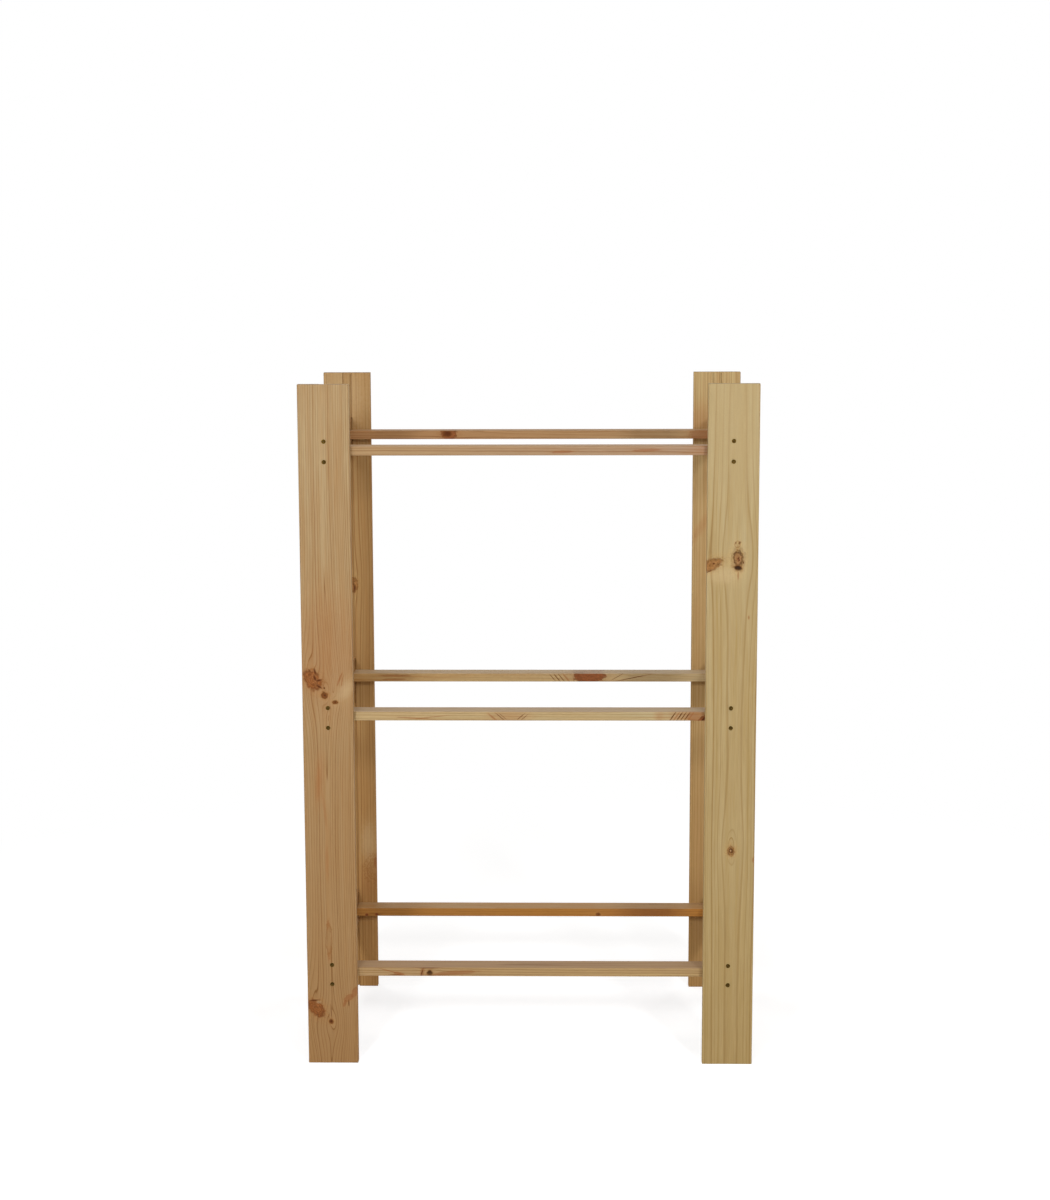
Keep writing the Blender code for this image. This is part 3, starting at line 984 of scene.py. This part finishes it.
# %% The grain of the rear posts
from_tree(
    "rear_left_post",
    heart=(14.0, -6.0),
    lean=(0.05, 0.1),
    ring=4.4,
    phase=0.35,
    pale=("#BD9761", "#A4895E"),
    warm="#A67D4C",
    late="#835B2F",
    knots=(
        ("pale", (-14, 600), (44, 60), 0),
        ("brown", (7, 212), (9.5, 15), 0),
        ("stroke", (9, 206), (3, 7), 0),
        ("pale", (32, -335), (14, 34), 0),
        ("stain_and_shade", (38, -412), (16, 30), 0),
        ("figure", (47, -394), (26, 32), 0),
        ("figure", (47, -394), (20, 25), 0),
        ("spike", (48, -378), (5, 12), 0),
    ),
)
from_tree(
    "rear_right_post",
    heart=(-6.0, -4.0),
    lean=(0.05, -0.1),
    ring=4.6,
    pale=("#AA8653", "#C1B082"),
    warm="#AE8C5D",
    late="#886534",
    knots=(
        ("stain_and_shade", (-32, 330), (6, 22), 30),
        # Painted shade: the post darker and warmer just above the top rail
        ("stain_and_shade", (-34, 546), (26, 26), 0),
    ),
)
print("grain for", len(GRAIN), "posts")

# %% The grain of the rails
# A rail's last colour is its top's: a painted sheen of reflected light, with some wear
from_tree(
    "front_top_rail",
    heart=(6.0, 32.0),
    lean=(0.5, 0.3),
    ring=4.0,
    pale=("#AF9469", "#AA9482"),
    warm="#A08262",
    late="#845F3D",
    worn="#BC9E7A",
    knots=(
        ("spike", (-2, 62), (2.2, 18), 2),
        ("spike", (1, 219), (2.2, 22), 2),
        ("stain_and_shade", (0, 350), (14, 36), 0),
    ),
)
from_tree(
    "rear_top_rail",
    heart=(4.0, -38.0),
    lean=(0.4, 0.5),
    ring=3.8,
    pale=("#A77A50", "#B09A75"),
    warm="#9F7C56",
    late="#7E5734",
    worn="#BC9E7A",
    knots=(
        ("red", (3, -168), (12, 16), 0),
        ("stroke", (3, -171), (7, 9), 0),
        ("spike", (0, 352), (14, 28), 0),
    ),
)
from_tree(
    "front_middle_rail",
    heart=(-4.0, 36.0),
    lean=(0.6, 0.4),
    ring=4.6,
    pale=("#C0AB83", "#B7AF8D"),
    warm="#B49A6D",
    late="#947547",
    worn="#B6A494",
    knots=(
        ("spike", (-3.7, -218), (1.0, 28), -3),
        ("spike", (-1.5, -182), (0.6, 26), 6),
        ("stain_and_shade", (-1, -38), (8, 26), 0),
        ("spike", (-2, -69), (1.4, 9), -40),
        ("stroke", (-1, -55), (0.6, 10), -40),
        ("stroke", (-1, -49), (0.4, 8), -40),
        ("stroke", (-1, -16), (0.6, 9), 40),
        ("stroke", (-2, -9), (0.5, 8), 40),
        ("stain_and_shade", (0, 244), (7, 6), 0),
        ("stain_and_shade", (0, 290), (14, 24), 0),
        ("spike", (-1, 316), (10, 18), 0),
        ("stroke", (0, 270), (1.0, 10), 55),
        ("spike", (0, 277), (1.2, 10), 55),
        ("stroke", (0, 283), (1.1, 10), 55),
        ("stroke", (0, 290), (0.8, 10), 55),
        ("stroke", (0, 297), (0.8, 10), 55),
        ("spike", (0, 304), (1.0, 10), 55),
        ("red", (-5, 330), (7, 14), 35),
        ("stroke", (-6, 327), (1.8, 8), 50),
    ),
)
from_tree(
    "rear_middle_rail",
    heart=(8.0, -40.0),
    lean=(0.5, 0.4),
    ring=4.2,
    pale=("#A5753B", "#AD9F81"),
    warm="#BBA578",
    late="#937044",
    worn="#CDBFA8",
    knots=(
        ("spike", (4, -282), (2, 26), 0),
        ("spike", (-4, -285), (1.6, 22), 0),
        ("stroke", (0, 42), (0.6, 10), -50),
        ("stroke", (0, 51), (0.8, 10), -50),
        ("stroke", (0, 60), (0.8, 10), -50),
        ("spike", (0, 70), (1.4, 10), -50),
        ("red", (3, 117), (13, 32), 0),
        ("stroke", (2, 176), (0.5, 12), 30),
        ("stroke", (-3, 196), (0.5, 26), 11),
        ("stroke", (1, 214), (0.5, 28), 11),
    ),
)
from_tree(
    "front_bottom_rail",
    heart=(-2.0, 34.0),
    lean=(0.5, 0.3),
    ring=4.4,
    pale=("#BDA074", "#C2AA7C"),
    warm="#A88B65",
    late="#866739",
    worn="#A48870",
    knots=(
        ("spike", (1, -267), (0.9, 21), -15),
        ("stroke", (-6, -256), (0.8, 12), 0),
        ("spike", (-4, -251), (3, 9), -10),
        ("spike", (-1, -206), (8, 3.4), -12),
        ("stroke", (-2, -207), (6.5, 1.1), -15),
        ("stroke", (7.5, -196), (0.7, 18), 0),
        ("dead", (-2, -192), (4.8, 5.2), 0),
        ("spike", (-2, -144), (3.5, 38), 4),
    ),
)
from_tree(
    "rear_bottom_rail",
    heart=(10.0, 44.0),
    lean=(0.3, 0.4),
    ring=4.8,
    pale=("#AF8049", "#B9803F"),
    warm="#AC7B3C",
    late="#885824",
    worn="#BCA682",
    knots=(
        ("red", (-6, -348), (2.6, 3.2), 0),
        ("red", (-5, -327), (2.6, 3.2), 0),
        ("live", (-4, 137), (3.4, 4.4), 0),
        ("stain_and_shade", (0, 216), (10, 60), 0),
        ("stain_and_shade", (0, 248), (10, 40), 0),
        ("stain_and_shade", (0, 254), (10, 26), 0),
    ),
)
print("grain for", len(GRAIN), "posts and rails")

# %% The grain of the crosspieces
for level in ("bottom", "middle", "top"):
    for side, across in (("left", 12.0), ("right", -9.0)):
        from_tree(
            f"{side}_{level}_crosspiece",
            heart=(across, 30.0),
            lean=(0.3, 0.2),
            ring=3.6,
            pale=("#BA9A6C", "#B69466"),
            warm="#AC865A",
            late="#8A6236",
        )
print("grain for", len(GRAIN), "boards")

# %% Finish the boards
for name, piece in boards.items():
    kind = name.split("_")[-1]
    piece.data.materials.clear()
    piece.data.materials.append(lacquered_pine(name, kind, GRAIN[name]))
    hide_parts(name)
    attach(piece, "root")
print("boards finished")

# %% [markdown]
# ## Yellow-zinc-plated steel
# Screws like these are steel with a thin zinc plating that is passivated yellow. Years of handling leave it
# dull and brownish. The plating's colour drifts over a few millimetres and its surface is finely pitted.

# %% The screws' finish
PLATING_DRIFT = 2.5
# Real pits are finer, and are drawn as coarse as they need to show
PLATING_PITS = 0.35
PLATING_COLOURS = ((0.35, "#453517"), (0.65, "#665026"))
PLATING_DULLNESS = {"To Min": 0.28, "To Max": 0.55}
PIT_STRENGTH = 0.2
PIT_DEPTH = 0.05 * MM


def yellow_zinc():
    """Two plating colours mixed by noise a few millimetres across, with finer noise in roughness and bump."""
    material = bpy.data.materials.new("yellow-zinc-plated steel")
    material.use_nodes = True
    tree = material.node_tree
    shader = tree.nodes["Principled BSDF"]
    place = add(tree, "TexCoord")["Object"]
    place = add(tree, "VectorMath", {0: place, "Scale": 1 / MM}, operation="SCALE")[0]
    drift = add(tree, "TexNoise", {"Vector": place, "Scale": 1 / PLATING_DRIFT, "Detail": 2.0})["Fac"]
    stops = [(position, linear(colour)) for position, colour in PLATING_COLOURS]
    colour = add(tree, "ValToRGB", {"Fac": drift}, stops=stops)["Color"]
    tree.links.new(colour, shader.inputs["Base Color"])
    pits = add(tree, "TexNoise", {"Vector": place, "Scale": 1 / PLATING_PITS, "Detail": 2.0})["Fac"]
    dull = add(tree, "MapRange", {"Value": pits, **PLATING_DULLNESS})[0]
    tree.links.new(dull, shader.inputs["Roughness"])
    bump = add(tree, "Bump", {"Height": pits, "Strength": PIT_STRENGTH, "Distance": PIT_DEPTH})[0]
    tree.links.new(bump, shader.inputs["Normal"])
    shader.inputs["Metallic"].default_value = 1.0
    return material


plating = yellow_zinc()
for node, piece in screws.items():
    piece.data.materials.append(plating)
    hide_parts(node)
    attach(piece, "root")
print("screws finished")
